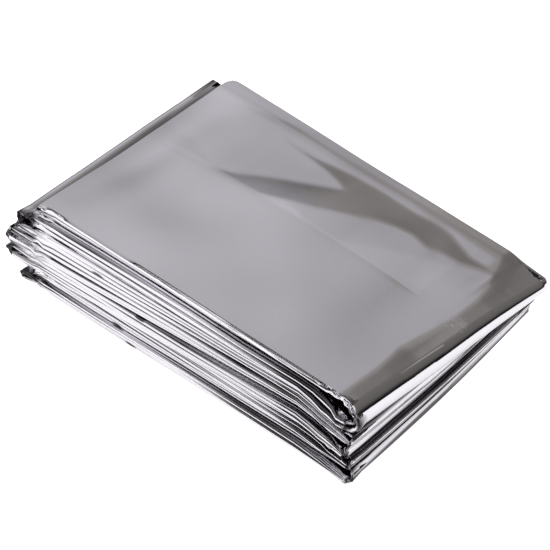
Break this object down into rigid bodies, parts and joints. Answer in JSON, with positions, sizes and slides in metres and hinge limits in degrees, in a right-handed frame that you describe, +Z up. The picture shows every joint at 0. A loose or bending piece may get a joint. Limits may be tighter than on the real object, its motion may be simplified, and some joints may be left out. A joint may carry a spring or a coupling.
{
  "type": "emergency foil blanket",
  "caption": "Emergency blanket of silvery metallised film, folded back and forth into a flat rectangular pack with rolled creases along its long sides.",
  "frame": {"origin": "centre of the pack's bounding box, on the surface it lies on", "axes": "+X along the pack's long side, +Y along its short side away from the near long side, +Z up through its layers"},
  "size_m": [0.124, 0.0802, 0.029],
  "materials": {
    "metallised_film": "mirror-bright film, lightly creased"
  },
  "bodies": {
    "root": {"folded_blanket": "metallised_film"}
  },
  "joints": []
}
